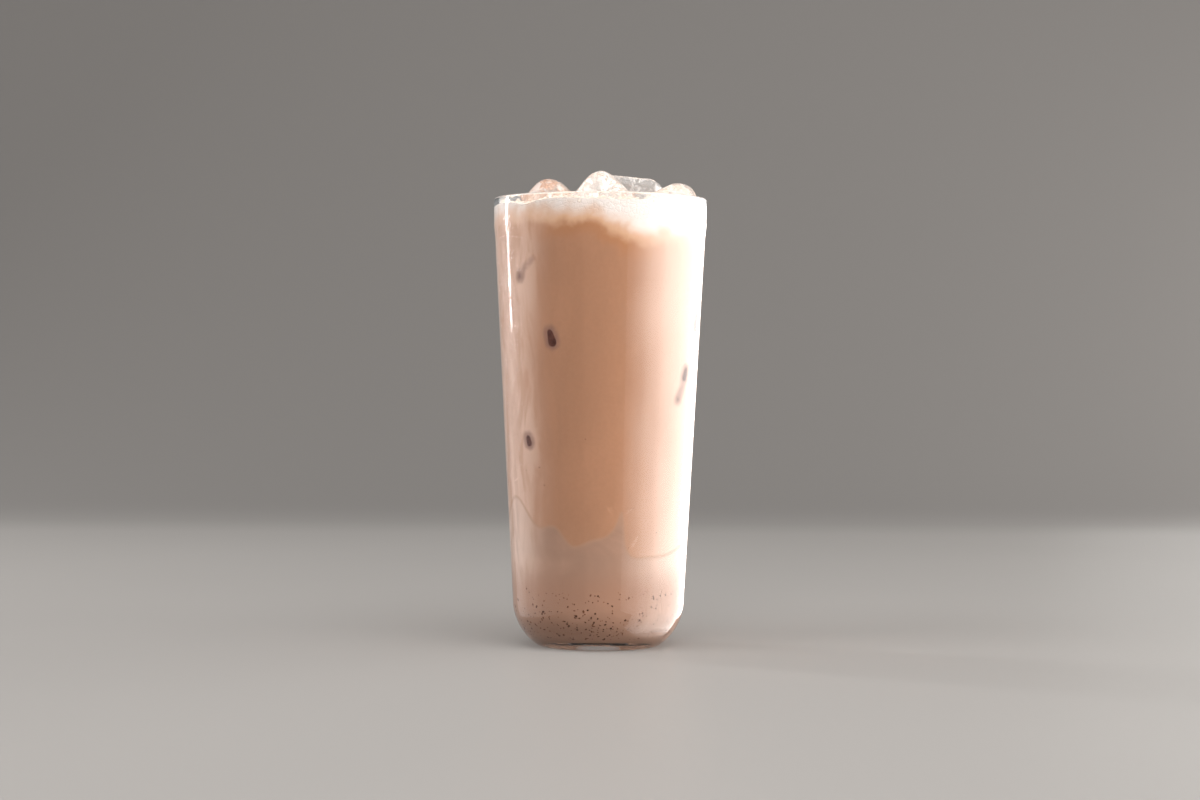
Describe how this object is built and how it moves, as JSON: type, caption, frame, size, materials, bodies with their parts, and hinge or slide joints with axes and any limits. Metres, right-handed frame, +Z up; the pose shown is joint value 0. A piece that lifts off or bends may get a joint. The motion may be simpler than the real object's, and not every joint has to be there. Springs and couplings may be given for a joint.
{
  "type": "iced chai latte",
  "caption": "Iced spiced-tea latte in a tall tapered tumbler, with milk swirled at the bottom, a thin froth and ice cubes standing above the lip.",
  "frame": {"origin": "on the surface it stands on, under the middle of the glass", "axes": "+Z up, -Y towards the drinker, +X to the drinker's right"},
  "size_m": [0.0715, 0.0714, 0.1587],
  "materials": {
    "clear_glass": "clear, polished",
    "milk": "milky liquid behind glass",
    "chai": "milky spiced tea behind glass",
    "froth": "fine bubbles",
    "ice": "wet, melting"
  },
  "bodies": {
    "root": {"glass": "clear_glass", "milk_layer": "milk", "chai_layer": "chai", "foam_layer": "froth", "ice_front": "ice", "ice_centre": "ice", "ice_left": "ice", "ice_right": "ice", "ice_rear": "ice"}
  },
  "joints": []
}
